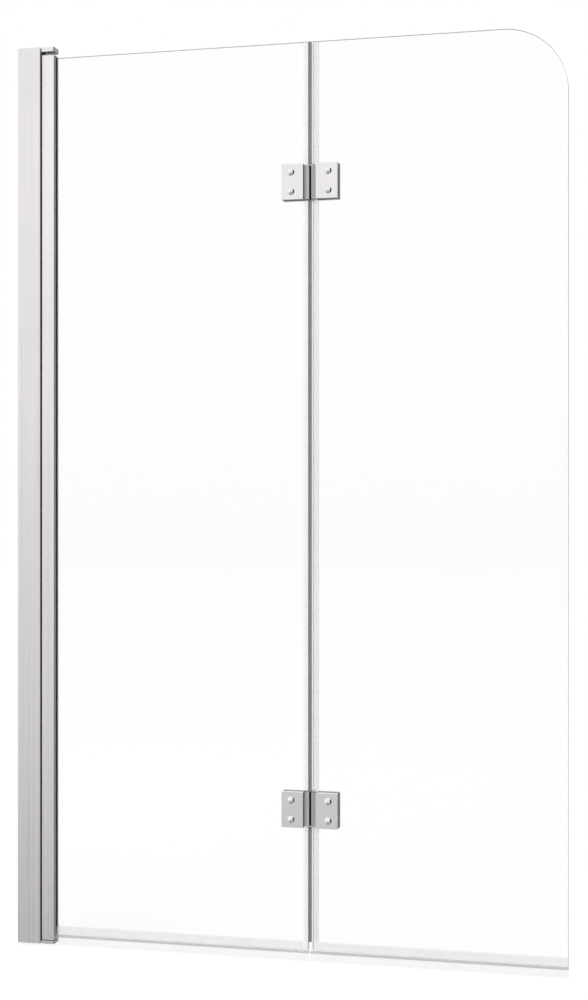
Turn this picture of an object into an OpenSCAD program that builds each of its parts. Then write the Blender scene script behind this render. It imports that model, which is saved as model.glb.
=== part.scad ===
// Folding bath screen: two glass panes on a wall pivot, joined by two hinges.
// X runs from the wall to the free edge, Y from the front to the back, Z up.
// The origin is on the wall face, in the middle of the wall channel, at its foot.

/* [Screen] */
// Height of the wall channel, from its foot to its top
channel_h = 1396; // [1100:1:1800]
// Width from the wall to the free edge of the outer pane
screen_w = 851; // [700:1:1000]
// Distance from the wall to the middle of the fold
fold_x = 467.4; // [380:0.1:520]
// Gap between the two panes at the fold
fold_gap = 7; // [6:0.1:8]
// Thickness of both panes
glass_t = 6; // [5:0.5:8]
// Radius of the outer pane's upper free corner
corner_r = 95; // [20:1:250]
// How far the panes stop short of the pivot profile's lower end
glass_foot_inset = 1.5; // [0.5:0.1:6]
// How far the panes stop short of the pivot profile's upper end
glass_head_inset = 2.5; // [0.5:0.1:10]

/* [Wall channel] */
// How far the channel stands out from the wall
channel_w = 37.1; // [36:0.1:60]
// Depth of the channel from front to back
channel_d = 24; // [23:0.1:40]
// Thickness of the channel's front and back flanges
channel_wall = 1.5; // [1:0.1:2.5]
// Thickness of the channel's web against the wall
channel_web = 2; // [1.2:0.1:2.4]
// Number of holes for wall screws
wall_hole_count = 4; // [2:1:6]
// Radius of the holes for wall screws
wall_hole_r = 2.75; // [2:0.05:4]
// Distance of the end wall holes from the channel's ends
wall_hole_inset = 98; // [40:1:200]
// Gap between the channel's top cap and the adjusting profile
channel_cap_gap = 1; // [0.3:0.1:3]

/* [Width adjuster] */
// How far the adjusting profile pulls out of the channel
adjust_travel = 15; // [5:1:16]
// Wall thickness of the adjusting profile
adjuster_wall = 1.5; // [1:0.1:2]
// Sliding clearance between the adjusting profile and the channel
adjuster_fit = 0.2; // [0.1:0.05:0.4]
// Radius of the clamp screws' shanks
clamp_screw_r = 2; // [1.5:0.1:2.2]
// Radius of the clamp screws' heads
clamp_head_r = 3.8; // [3:0.1:5]
// Height of the clamp screws' domed heads
clamp_head_h = 2.2; // [1.5:0.1:3]
// Width of the square nuts on the clamp screws
clamp_nut_w = 7; // [6:0.1:7.5]
// Thickness of the square nuts
clamp_nut_t = 2.4; // [1.8:0.1:3.5]
// Gap between the square nuts and the adjusting profile's screw ports
clamp_gap = 0.4; // [0.2:0.1:1]
// Distance of the end clamp screws from the channel's ends
clamp_end = 150; // [60:1:300]
// Radius of the screws that hold the pivot brackets
bracket_screw_r = 2; // [1.5:0.1:2.2]
// Radius of the bracket screws' heads
bracket_head_r = 3.4; // [2.8:0.1:3.6]
// Height of the bracket screws' heads
bracket_head_h = 2.5; // [1.8:0.1:3]
// Length of the bracket screws below their heads
bracket_screw_l = 16; // [10:1:30]
// Wall round the adjusting profile's screw ports
port_wall = 1.2; // [0.8:0.1:1.4]
// Radius of the screws' hexagonal sockets, to the corners
socket_r = 1.45; // [1:0.05:1.45]
// Depth of the screws' hexagonal sockets
socket_depth = 1.4; // [0.8:0.1:1.4]
// Least thickness of the black seal on the adjusting profile
pivot_seal_t = 1.6; // [1:0.1:2.5]

/* [Pivot] */
// Gap between the channel's mouth and the pivot profile
mouth_gap = 2.3; // [2:0.1:6]
// Width of the pivot profile along the screen
pivot_w = 20.1; // [18.5:0.1:26]
// Depth of the pivot profile from front to back
pivot_d = 22; // [21:0.1:22.8]
// Wall thickness of the pivot profile
pivot_wall = 1.6; // [1.2:0.1:2]
// Radius of the pivot profile's edges beside the channel
pivot_edge_r = 2; // [1:0.1:4]
// How far the pivot profile's jaws widen towards the pane
jaw_flare = 0.9; // [0:0.1:2]
// Clearance of the turning profile past the channel and its seal
swing_gap = 0.4; // [0.3:0.05:1]
// Thickness of the top pivot bracket
top_bracket_t = 7; // [5:0.5:10]
// Thickness of the bottom pivot bracket
bottom_bracket_t = 5; // [4.5:0.5:8]
// Radius of the brackets' outer corners
bracket_corner_r = 2.5; // [1:0.5:8]
// Step in from the pivot's front and back to the brackets' necks
bracket_step = 3; // [1:0.1:4]
// Radius of the pivot pins
pin_r = 2.5; // [2:0.1:3]
// Length of pin inside each pivot cap
pin_engage = 21; // [10:1:40]
// Free height between the top bracket and the top pivot cap
top_gap = 5.3; // [1:0.1:10]
// Radius of the bottom pin's collar
collar_r = 5; // [4:0.1:7]
// Height of the bottom pin's collar
collar_h = 0.5; // [0.5:0.5:8]
// Thickness of the thrust washer
thrust_t = 0.6; // [0.5:0.1:3]
// Radius of the thrust washer
thrust_r = 5.6; // [4.5:0.1:8]
// Thickness of the top pivot cap's plate
top_cap_t = 1.2; // [1:0.1:5]
// Thickness of the bottom pivot cap's plate
foot_cap_t = 6.8; // [1.5:0.1:8]
// Wall of the pivot caps' round spigots
spigot_wall = 1.45; // [1:0.05:1.8]
// Free depth beyond each pivot pin's tip
pin_tip_gap = 1; // [0.5:0.1:5]
// Thickness of the pivot caps' closed ends
spigot_end = 3; // [1:0.5:8]
// Thickness of the black glazing gaskets
gasket_t = 1; // [1:0.1:2.6]
// How far the gaskets' lips show beside the pivot profile's jaws
gasket_lip = 0.7; // [0.5:0.1:8]
// Thickness of the gaskets' lips
gasket_lip_t = 1; // [1:0.1:5]

/* [Seals] */
// Height of the bottom seals' sleeves
sleeve_h = 17.5; // [10:0.5:30]
// Thickness under the panes' lower edges
sleeve_base = 5.7; // [1.5:0.1:8]
// Wall thickness of the seals
seal_wall = 1.2; // [0.8:0.1:2]
// Height of the fins below the bottom seals' sleeves
fin_h = 12.8; // [8:0.1:24]
// Thickness of the fins
fin_t = 1; // [0.6:0.1:2]
// How far the fins lean to the back at their lower edge
fin_lean = 2; // [0:0.5:6]
// Width of the fold seals' legs on the glass
fold_leg = 9; // [6:0.5:14]
// Thickness of the inner fold seal across its pane's edge
inner_seal_wall = 0.7; // [0.5:0.1:1]
// Thickness of the outer fold seal across its pane's edge
outer_seal_wall = 2.8; // [0.5:0.1:3]
// Depth of the bulb in the fold from front to back
bulb_d = 6; // [5:0.1:9]

/* [Hinges] */
// Distance of the hinges' middles from the panes' upper and lower edges
hinge_inset = 211.2; // [100:0.1:350]
// Width of the hinge plates
plate_w = 33.5; // [30:0.5:60]
// Height of the hinge plates
plate_h = 53.5; // [46:0.5:80]
// Thickness of the front plates
front_plate_t = 8.2; // [4:0.1:12]
// Thickness of the back plates
back_plate_t = 6.2; // [5.5:0.1:10]
// Distance from the middle of the fold to the plates
plate_reach = 9.6; // [7:0.1:12]
// Thickness of the rubber pads between plates and glass
pad_t = 0.8; // [0.4:0.1:2]
// Seam between the two leaves at the middle of the fold
seam = 3.2; // [1:0.1:4]
// How far the leaves' lips stop short of the plates' upper and lower edges
lip_inset = 1; // [0:0.1:4]
// Thickness of the leaves' lips
lip_t = 2.2; // [1:0.1:3]
// Distance of the screws from the middle of the fold
screw_reach = 28.6; // [22:0.1:34]
// Vertical distance between a leaf's two screws
screw_pitch = 29; // [24:0.5:34]
// Radius of the domed nuts' heads
dome_r = 5.7; // [4:0.1:6.5]
// Height of the domed nuts' heads
dome_h = 3.6; // [2:0.1:4]
// Radius of the domed nuts' shanks
dome_shank_r = 3.2; // [3:0.1:3.8]
// Radius of the hinge screws
hinge_screw_r = 2; // [1.5:0.1:2.2]
// Radius of the hinge screws' heads
hinge_head_r = 4; // [3:0.1:5]
// Height of the hinge screws' heads
hinge_head_h = 2.6; // [1.5:0.1:3.5]
// Radius of the holes through the glass
glass_hole_r = 5; // [4.6:0.1:7]
// Radius of the hinge barrels
barrel_r = 5; // [4:0.1:6]
// Radius of the hinge pins
hinge_pin_r = 2.5; // [1.5:0.1:3]
// Height of the outer leaf's middle knuckle
knuckle_h = 18; // [12:0.5:24]
// Thickness of the washers between the knuckles
knuckle_washer_t = 0.8; // [0.5:0.1:2]
// Distance between back plates when the screen is folded flat
folded_gap = 3; // [1:0.5:6]

/* [Hidden] */
$fn = 64;

// Overshoot of cutting shapes past the faces that they cut
cut = 1;
// Radial clearance of turning fits
turn_fit = 0.05;
// Radial clearance of fixed fits
fixed_fit = 0.02;
// Radial clearance of screws in through holes
screw_fit = 0.2;
// Flat clearance between faces that slide or turn on each other
face_fit = 0.1;
// Clearance between parts that lie side by side
side_fit = 0.3;

// Across the screen, from front to back
glass_y = glass_t / 2;
sleeve_y = glass_y + seal_wall;
pad_y = glass_y + pad_t;
front_y = pad_y + front_plate_t;
back_y = pad_y + back_plate_t;
fold_y = back_y + folded_gap / 2;
pocket_y = glass_y + gasket_t;
channel_y = channel_d / 2 - channel_wall;
adjuster_y = channel_y - adjuster_fit;

// Along the screen, from the wall to the free edge
pivot_x = channel_w + swing_gap + pivot_d / 2;
profile_x0 = channel_w + mouth_gap;
profile_x1 = profile_x0 + pivot_w;
spigot_r = pin_r + turn_fit + spigot_wall;
chamber_r = spigot_r + fixed_fit;
pocket_x = pivot_x + chamber_r + pivot_wall;
inner_x0 = pocket_x + side_fit;
inner_x1 = fold_x - fold_gap / 2;
outer_x0 = fold_x + fold_gap / 2;
jaw_x = profile_x1 + jaw_flare;
sleeve_x = jaw_x + side_fit;
edge_x = pivot_x - profile_x0 - pivot_edge_r;
edge_sweep = norm([edge_x, pivot_d / 2 - pivot_edge_r]) + pivot_edge_r;
seal_sweep = edge_sweep + swing_gap;
adjuster_x0 = channel_web + side_fit;
adjuster_x1 = pivot_x - seal_sweep - pivot_seal_t;
port_r = bracket_screw_r + fixed_fit + port_wall;
port_x = adjuster_x1 - adjuster_wall / 2 - port_r;
port_y = adjuster_y - adjuster_wall / 2 - port_r;
clamp_x = port_x - port_r - clamp_nut_w / 2 - clamp_gap;
bracket_x = port_x - bracket_head_r - adjuster_wall;
neck_y = pivot_d / 2 - bracket_step;
clamp_nut_y = adjuster_y - adjuster_wall - face_fit;
bracket_sweep = norm([profile_x1 - bracket_corner_r - pivot_x, pivot_d / 2 - bracket_corner_r])
    + bracket_corner_r;
fin_x = max(pivot_x + bracket_sweep + swing_gap, sleeve_x);

// Up the screen, from the foot of the channel
profile_z0 = bottom_bracket_t + collar_h + thrust_t + face_fit + foot_cap_t;
profile_z1 = channel_h - top_bracket_t - top_gap - top_cap_t;
glass_z0 = profile_z0 + glass_foot_inset;
glass_z1 = profile_z1 - glass_head_inset;
sleeve_z0 = glass_z0 - sleeve_base;
sleeve_z1 = sleeve_z0 + sleeve_h;
lower_hinge_z = glass_z0 + hinge_inset;
upper_hinge_z = glass_z1 - hinge_inset;
wall_hole_pitch = (channel_h - 2 * wall_hole_inset) / (wall_hole_count - 1);
wall_hole_z = [for (i = [0 : wall_hole_count - 1]) wall_hole_inset + i * wall_hole_pitch];
clamp_z = [clamp_end, channel_h / 2, channel_h - clamp_end];
adjuster_z0 = bottom_bracket_t;
adjuster_z1 = channel_h - top_bracket_t;

// The free stretches of the fold, between and beyond the hinges
hinge_room = plate_h / 2 + side_fit;
fold_breaks = [
    lower_hinge_z - hinge_room, lower_hinge_z + hinge_room,
    upper_hinge_z - hinge_room, upper_hinge_z + hinge_room
];
knuckle_z = knuckle_h / 2;
knuckle_gap = knuckle_washer_t + 2 * face_fit;
lip_z = plate_h / 2 - lip_inset;

// The pivot pins' ends inside the brackets, and their blind holes' floors
pin_skin = 0.6;
pin_end = pin_skin + face_fit;

// Flat outlines

module rect(x0, x1, y0, y1) translate([x0, y0]) square([x1 - x0, y1 - y0]);

module disc(x, y, r) translate([x, y]) circle(r);

// A rectangle about the X axis with its left corners rounded by ra and its right ones by rb
module rounded(x0, x1, y, ra, rb) {
    rect(x0 + ra, x1 - rb, -y, y);
    rect(x0, x0 + ra, -y + ra, y - ra);
    rect(x1 - rb, x1, -y + rb, y - rb);
    for (s = [-1, 1]) {
        disc(x0 + ra, s * (y - ra), ra);
        disc(x1 - rb, s * (y - rb), rb);
    }
}

// A sleeve open to one side: the ring of walls round the pane's edge
module sleeve_outline(x0, x1, edge, y_in, y_out) difference() {
    rect(x0, x1, -y_out, y_out);
    if (edge > (x0 + x1) / 2)
        rect(x0 - cut, edge, -y_in, y_in);
    else
        rect(edge, x1 + cut, -y_in, y_in);
}

// Placing

module up(z0, z1) translate([0, 0, z0]) linear_extrude(z1 - z0) children();

// Extrudes a flat outline given in Y and Z along X
module along(x0, x1) translate([x0, 0, 0]) rotate([90, 0, 90]) linear_extrude(x1 - x0) children();

// Extrudes a flat outline given in X and Z from front to back
module across(y0, y1) translate([0, y1, 0]) rotate([90, 0, 0]) linear_extrude(y1 - y0) children();

module slab(x0, x1, y0, y1, z0, z1) translate([x0, y0, z0]) cube([x1 - x0, y1 - y0, z1 - z0]);

module rod_x(r, x0, x1, y, z) translate([x0, y, z]) rotate([0, 90, 0]) cylinder(r = r, h = x1 - x0);

module rod_y(r, x, y0, y1, z) translate([x, y1, z]) rotate([90, 0, 0]) cylinder(r = r, h = y1 - y0);

module rod_z(r, x, y, z0, z1) translate([x, y, z0]) cylinder(r = r, h = z1 - z0);

// A domed head of radius r and height h that stands on the plane y = 0 and points to the front
module dome(r, h) {
    ball = (r * r + h * h) / (2 * h);
    intersection() {
        translate([0, ball - h, 0]) sphere(ball, $fn = 96);
        rod_y(r, 0, -h - cut, 0, 0);
    }
}

// A hexagonal socket that opens to +Z at z = 0
module hex_socket() translate([0, 0, -socket_depth])
    cylinder(r = socket_r, h = socket_depth + cut, $fn = 6);

// Wall channel and width adjuster

module wall_channel() color("gainsboro") difference() {
    up(0, channel_h) difference() {
        rect(0, channel_w, -channel_d / 2, channel_d / 2);
        rect(channel_web, channel_w + cut, -channel_y, channel_y);
    }
    for (z = wall_hole_z) rod_x(wall_hole_r, -cut, channel_web + cut, 0, z);
    for (z = clamp_z)
        rod_y(clamp_screw_r + screw_fit, clamp_x, channel_y - cut, channel_d / 2 + cut, z);
}

module channel_top_cap() color("darkgray")
    slab(channel_web + face_fit, bracket_x - side_fit, -channel_y + face_fit, channel_y - face_fit,
        adjuster_z1 + channel_cap_gap, channel_h);

module clamp_screws() color("silver") for (z = clamp_z) difference() {
    union() {
        translate([clamp_x, channel_d / 2, z]) rotate([0, 0, 180]) dome(clamp_head_r, clamp_head_h);
        rod_y(clamp_screw_r, clamp_x, clamp_nut_y - clamp_nut_t - cut, channel_d / 2 + fixed_fit, z);
    }
    translate([clamp_x, channel_d / 2 + clamp_head_h, z]) rotate([-90, 0, 0]) hex_socket();
}

module clamp_nuts() color("silver") for (z = clamp_z) difference() {
    slab(clamp_x - clamp_nut_w / 2, clamp_x + clamp_nut_w / 2, clamp_nut_y - clamp_nut_t,
        clamp_nut_y, z - clamp_nut_w / 2, z + clamp_nut_w / 2);
    rod_y(clamp_screw_r + fixed_fit, clamp_x, clamp_nut_y - clamp_nut_t - cut, clamp_nut_y + cut, z);
}

module adjusting_profile() color("lightgray") difference() {
    up(adjuster_z0, adjuster_z1) difference() {
        union() {
            difference() {
                rect(adjuster_x0, adjuster_x1, -adjuster_y, adjuster_y);
                rect(adjuster_x0 - cut, adjuster_x1 - adjuster_wall,
                    -adjuster_y + adjuster_wall, adjuster_y - adjuster_wall);
            }
            for (s = [-1, 1]) disc(port_x, s * port_y, port_r);
        }
        for (s = [-1, 1]) disc(port_x, s * port_y, bracket_screw_r + fixed_fit);
    }
    for (z = clamp_z) clamp_slot(z);
}

// The slot that lets the adjusting profile slide past a clamp screw
module clamp_slot(z) {
    slot_r = clamp_screw_r + side_fit;
    y0 = adjuster_y - adjuster_wall - cut;
    for (x = [clamp_x - adjust_travel, clamp_x]) rod_y(slot_r, x, y0, adjuster_y + cut, z);
    slab(clamp_x - adjust_travel, clamp_x, y0, adjuster_y + cut, z - slot_r, z + slot_r);
}

// The seal fills the channel's mouth and stays clear of the turning pivot profile
module pivot_seal() color("black") up(adjuster_z0, adjuster_z1) difference() {
    rect(adjuster_x1, channel_w - face_fit, -adjuster_y, adjuster_y);
    disc(pivot_x, 0, seal_sweep);
}

// Pivot brackets, pins and caps

module bracket_outline() {
    rect(bracket_x, adjuster_x1, -adjuster_y, adjuster_y);
    rect(bracket_x, profile_x0 + bracket_corner_r, -neck_y, neck_y);
    rounded(profile_x0, profile_x1, pivot_d / 2, adjuster_wall, bracket_corner_r);
}

// A bracket from z0 to z1 whose screw heads lie in its outer face, at z1 if head_up is true
module bracket(z0, z1, head_up) difference() {
    up(z0, z1) bracket_outline();
    rod_z(pin_r + fixed_fit, pivot_x, 0, head_up ? z0 - cut : z0 + pin_skin,
        head_up ? z1 - pin_skin : z1 + cut);
    for (s = [-1, 1]) {
        rod_z(bracket_screw_r + screw_fit, port_x, s * port_y, z0 - cut, z1 + cut);
        rod_z(bracket_head_r + screw_fit, port_x, s * port_y,
            head_up ? z1 - bracket_head_h : z0 - cut, head_up ? z1 + cut : z0 + bracket_head_h);
    }
}

module top_bracket() color("gainsboro") bracket(adjuster_z1, channel_h, true);

module bottom_bracket() color("gainsboro") bracket(0, adjuster_z0, false);

// One bracket screw on the Z axis with its head's seat at z = 0
module bracket_screw() difference() {
    union() {
        rod_z(bracket_head_r, 0, 0, 0, bracket_head_h - face_fit);
        rod_z(bracket_screw_r, 0, 0, -bracket_screw_l, face_fit);
    }
    translate([0, 0, bracket_head_h - face_fit]) hex_socket();
}

module bracket_screws() color("silver") for (s = [-1, 1]) {
    translate([port_x, s * port_y, channel_h - bracket_head_h]) bracket_screw();
    translate([port_x, s * port_y, bracket_head_h]) mirror([0, 0, 1]) bracket_screw();
}

module top_pivot_pin() color("silver")
    rod_z(pin_r, pivot_x, 0, profile_z1 + top_cap_t - pin_engage, channel_h - pin_end);

module bottom_pivot_pin() color("silver") {
    rod_z(pin_r, pivot_x, 0, pin_end, profile_z0 - foot_cap_t + pin_engage);
    rod_z(collar_r, pivot_x, 0, bottom_bracket_t, bottom_bracket_t + collar_h);
}

module thrust_washer() color("ivory") difference() {
    z0 = bottom_bracket_t + collar_h;
    rod_z(thrust_r, pivot_x, 0, z0, z0 + thrust_t);
    rod_z(pin_r + turn_fit, pivot_x, 0, z0 - cut, z0 + thrust_t + cut);
}

// A pivot cap: the plate of thickness t hangs below z = 0 and the spigot stands above it
module pivot_cap(t) difference() {
    hole_top = pin_engage - t + pin_tip_gap;
    union() {
        up(-t, 0) rounded(profile_x0 + side_fit, profile_x1 - side_fit,
            pivot_d / 2 - side_fit, pivot_edge_r, side_fit);
        rod_z(spigot_r, pivot_x, 0, -side_fit, hole_top + spigot_end);
    }
    rod_z(pin_r + turn_fit, pivot_x, 0, -t - cut, hole_top);
}

module bottom_pivot_cap() color("darkgray") translate([0, 0, profile_z0]) pivot_cap(foot_cap_t);

module top_pivot_cap() color("darkgray") translate([0, 0, profile_z1]) mirror([0, 0, 1])
    pivot_cap(top_cap_t);

module pivot_profile() color("gainsboro") up(profile_z0, profile_z1) difference() {
    union() {
        rounded(profile_x0, profile_x1, pivot_d / 2, pivot_edge_r, side_fit);
        for (s = [-1, 1]) scale([1, s]) polygon([
            [profile_x1 - pivot_wall, pivot_d / 2 - side_fit], [profile_x1, pivot_d / 2 - side_fit],
            [jaw_x, pocket_y], [profile_x1 - pivot_wall, pocket_y]
        ]);
    }
    disc(pivot_x, 0, chamber_r);
    rect(pocket_x, jaw_x + cut, -pocket_y, pocket_y);
    for (s = [-1, 1]) scale([1, s]) rect(profile_x0 + pivot_edge_r, profile_x1 - pivot_wall,
        pocket_y + pivot_wall, pivot_d / 2 - pivot_wall);
}

// One glazing gasket on the back of the pane
module gasket() {
    up(glass_z0, glass_z1) rect(inner_x0, jaw_x, glass_y, pocket_y);
    up(sleeve_z1 + face_fit, glass_z1)
        polygon([
            [jaw_x, glass_y], [jaw_x + gasket_lip, glass_y],
            [jaw_x + gasket_lip, glass_y + gasket_lip_t / 2],
            [jaw_x + gasket_lip / 2, glass_y + gasket_lip_t], [jaw_x, glass_y + gasket_lip_t]
        ]);
}

module front_glazing_gasket() color("black") mirror([0, 1, 0]) gasket();

module back_glazing_gasket() color("black") gasket();

// Panes

module hinge_holes(x) for (z = [lower_hinge_z, upper_hinge_z], s = [-1, 1])
    rod_y(glass_hole_r, x, -glass_y - cut, glass_y + cut, z + s * screw_pitch / 2);

module inner_glass() color("lightcyan", 0.4) difference() {
    slab(inner_x0, inner_x1, -glass_y, glass_y, glass_z0, glass_z1);
    hinge_holes(fold_x - screw_reach);
}

module outer_glass() color("lightcyan", 0.4) difference() {
    across(-glass_y, glass_y) union() {
        rect(outer_x0, screen_w, glass_z0, glass_z1 - corner_r);
        rect(outer_x0, screen_w - corner_r, glass_z0, glass_z1);
        translate([screen_w - corner_r, glass_z1 - corner_r]) circle(corner_r, $fn = 192);
    }
    hinge_holes(fold_x + screw_reach);
}

// Seals

module sleeve_section() difference() {
    rect(-sleeve_y, sleeve_y, sleeve_z0, sleeve_z1);
    rect(-glass_y, glass_y, glass_z0, sleeve_z1 + cut);
}

module fin_section() polygon([
    [-fin_t / 2, sleeve_z0], [fin_lean - fin_t / 4, sleeve_z0 - fin_h],
    [fin_lean + fin_t / 4, sleeve_z0 - fin_h], [fin_t / 2, sleeve_z0]
]);

// A bottom seal: the sleeve grips the pane from x0 to x1 and the fin hangs from fin_x0 to fin_x1
module bottom_seal(x0, x1, fin_x0, fin_x1) {
    along(x0, x1) sleeve_section();
    along(fin_x0, fin_x1) fin_section();
}

module inner_bottom_seal() color("whitesmoke", 0.6)
    bottom_seal(sleeve_x, inner_x1 - fold_leg - face_fit, fin_x, inner_x1);

module outer_bottom_seal() color("whitesmoke", 0.6)
    bottom_seal(outer_x0 - outer_seal_wall, screen_w, outer_x0 - outer_seal_wall, screen_w);

// Extrudes an outline up the free stretches of the fold from z0 to the top of the panes
module up_the_fold(z0) {
    up(z0, fold_breaks[0]) children();
    up(fold_breaks[1], fold_breaks[2]) children();
    up(fold_breaks[3], glass_z1) children();
}

module inner_fold_seal() color("whitesmoke", 0.6) up_the_fold(sleeve_z0)
    sleeve_outline(inner_x1 - fold_leg, inner_x1 + inner_seal_wall, inner_x1, glass_y, sleeve_y);

module outer_fold_seal() color("whitesmoke", 0.6) up_the_fold(sleeve_z1 + face_fit)
    sleeve_outline(outer_x0 - outer_seal_wall, outer_x0 + fold_leg, outer_x0, glass_y, sleeve_y);

module fold_bulb() color("dimgray") up_the_fold(sleeve_z1 + face_fit) {
    x0 = inner_x1 + inner_seal_wall + side_fit;
    x1 = outer_x0 - outer_seal_wall;
    r = (x1 - x0) / 2;
    rect(x0, x1, -bulb_d / 2 + r, bulb_d / 2 - r);
    for (s = [-1, 1]) disc((x0 + x1) / 2, s * (bulb_d / 2 - r), r);
}

// Hinges, drawn about the middle of the fold for the outer pane's side

// Moves a hinge piece to height z, mirrored to the inner pane's side if side is -1
module at_hinge(z, side) translate([fold_x, 0, z]) mirror([side < 0 ? 1 : 0, 0, 0]) children();

// The stretches of barrel that each leaf has: two ends on the inner leaf, the middle on the outer
function knuckles(side) = side < 0
    ? [[-plate_h / 2, -knuckle_z - knuckle_gap], [knuckle_z + knuckle_gap, plate_h / 2]]
    : [[-knuckle_z, knuckle_z]];

module leaf(side) {
    web_y = fold_y - barrel_r - side_fit;
    lip_y = pad_y - fixed_fit;
    pin_fit = side < 0 ? fixed_fit : turn_fit;
    difference() {
        union() {
            slab(plate_reach, plate_reach + plate_w, pad_y, back_y, -plate_h / 2, plate_h / 2);
            slab(seam / 2, plate_reach + cut, pad_y, web_y, -lip_z, lip_z);
            slab(seam / 2, fold_gap / 2 - side_fit, -lip_y - lip_t, pad_y + cut, -lip_z, lip_z);
            slab(seam / 2, plate_reach - face_fit, -lip_y - lip_t, -lip_y, -lip_z, lip_z);
            for (k = knuckles(side)) {
                slab(0, plate_reach + cut, web_y, back_y, k[0], k[1]);
                rod_z(barrel_r, 0, fold_y, k[0], k[1]);
            }
        }
        rod_z(hinge_pin_r + pin_fit, 0, fold_y, -plate_h, plate_h);
        for (s = [-1, 1]) {
            rod_y(dome_shank_r + screw_fit, screw_reach, pad_y - cut, back_y + cut, s * screw_pitch / 2);
            rod_y(hinge_head_r + screw_fit, screw_reach, back_y - hinge_head_h - face_fit,
                back_y + cut, s * screw_pitch / 2);
        }
    }
}

module front_plate() difference() {
    slab(plate_reach, plate_reach + plate_w, -front_y, -pad_y, -plate_h / 2, plate_h / 2);
    for (s = [-1, 1])
        rod_y(dome_shank_r + screw_fit, screw_reach, -front_y - cut, -pad_y + cut, s * screw_pitch / 2);
}

module pads() for (side = [-1, 1]) difference() {
    y0 = side < 0 ? -pad_y : glass_y;
    slab(plate_reach + side_fit, plate_reach + plate_w - side_fit, y0, y0 + pad_t,
        -plate_h / 2 + side_fit, plate_h / 2 - side_fit);
    for (s = [-1, 1]) rod_y(glass_hole_r, screw_reach, y0 - cut, y0 + pad_t + cut, s * screw_pitch / 2);
}

module bushes() for (s = [-1, 1]) difference() {
    rod_y(glass_hole_r - face_fit, screw_reach, -glass_y, glass_y, s * screw_pitch / 2);
    rod_y(dome_shank_r + screw_fit, screw_reach, -glass_y - cut, glass_y + cut, s * screw_pitch / 2);
}

// The domed nuts' shanks end in front of the hinge screws' heads
module dome_nuts() for (s = [-1, 1]) difference() {
    union() {
        translate([screw_reach, -front_y, s * screw_pitch / 2]) dome(dome_r, dome_h);
        rod_y(dome_shank_r, screw_reach, -front_y - fixed_fit, back_y - hinge_head_h - 3 * face_fit,
            s * screw_pitch / 2);
    }
    rod_y(hinge_screw_r + fixed_fit, screw_reach, -pad_y - front_plate_t / 2, back_y, s * screw_pitch / 2);
}

module hinge_screws() for (s = [-1, 1]) difference() {
    union() {
        rod_y(hinge_head_r, screw_reach, back_y - hinge_head_h, back_y - face_fit, s * screw_pitch / 2);
        rod_y(hinge_screw_r, screw_reach, -pad_y, back_y - hinge_head_h + fixed_fit, s * screw_pitch / 2);
    }
    translate([screw_reach, back_y - face_fit, s * screw_pitch / 2]) rotate([-90, 0, 0]) hex_socket();
}

module hinge_pin() rod_z(hinge_pin_r, 0, fold_y, -plate_h / 2, plate_h / 2);

module hinge_washers() for (s = [-1, 1]) difference() {
    z0 = s * (knuckle_z + knuckle_gap / 2) - knuckle_washer_t / 2;
    rod_z(barrel_r - face_fit, 0, fold_y, z0, z0 + knuckle_washer_t);
    rod_z(hinge_pin_r + turn_fit, 0, fold_y, z0 - cut, z0 + knuckle_washer_t + cut);
}

// One hinge piece by name, at height z
module hinge_piece(name, z) {
    if (name == "inner_leaf") color("gainsboro") at_hinge(z, -1) leaf(-1);
    if (name == "inner_plate") color("gainsboro") at_hinge(z, -1) front_plate();
    if (name == "inner_pads") color("dimgray") at_hinge(z, -1) pads();
    if (name == "inner_bushes") color("ivory") at_hinge(z, -1) bushes();
    if (name == "inner_dome_nuts") color("silver") at_hinge(z, -1) dome_nuts();
    if (name == "inner_screws") color("silver") at_hinge(z, -1) hinge_screws();
    if (name == "hinge_pin") color("silver") at_hinge(z, 1) hinge_pin();
    if (name == "hinge_washers") color("ivory") at_hinge(z, 1) hinge_washers();
    if (name == "outer_leaf") color("gainsboro") at_hinge(z, 1) leaf(1);
    if (name == "outer_plate") color("gainsboro") at_hinge(z, 1) front_plate();
    if (name == "outer_pads") color("dimgray") at_hinge(z, 1) pads();
    if (name == "outer_bushes") color("ivory") at_hinge(z, 1) bushes();
    if (name == "outer_dome_nuts") color("silver") at_hinge(z, 1) dome_nuts();
    if (name == "outer_screws") color("silver") at_hinge(z, 1) hinge_screws();
}

wall_channel();
channel_top_cap();
clamp_screws();
clamp_nuts();
adjusting_profile();
pivot_seal();
top_bracket();
bottom_bracket();
bracket_screws();
top_pivot_pin();
bottom_pivot_pin();
thrust_washer();
pivot_profile();
top_pivot_cap();
bottom_pivot_cap();
front_glazing_gasket();
back_glazing_gasket();
inner_glass();
inner_bottom_seal();
inner_fold_seal();
outer_glass();
outer_bottom_seal();
outer_fold_seal();
fold_bulb();
hinge_piece("inner_leaf", upper_hinge_z);  // upper_inner_leaf
hinge_piece("inner_plate", upper_hinge_z);  // upper_inner_plate
hinge_piece("inner_pads", upper_hinge_z);  // upper_inner_pads
hinge_piece("inner_bushes", upper_hinge_z);  // upper_inner_bushes
hinge_piece("inner_dome_nuts", upper_hinge_z);  // upper_inner_dome_nuts
hinge_piece("inner_screws", upper_hinge_z);  // upper_inner_screws
hinge_piece("hinge_pin", upper_hinge_z);  // upper_hinge_pin
hinge_piece("hinge_washers", upper_hinge_z);  // upper_hinge_washers
hinge_piece("outer_leaf", upper_hinge_z);  // upper_outer_leaf
hinge_piece("outer_plate", upper_hinge_z);  // upper_outer_plate
hinge_piece("outer_pads", upper_hinge_z);  // upper_outer_pads
hinge_piece("outer_bushes", upper_hinge_z);  // upper_outer_bushes
hinge_piece("outer_dome_nuts", upper_hinge_z);  // upper_outer_dome_nuts
hinge_piece("outer_screws", upper_hinge_z);  // upper_outer_screws
hinge_piece("inner_leaf", lower_hinge_z);  // lower_inner_leaf
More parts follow.
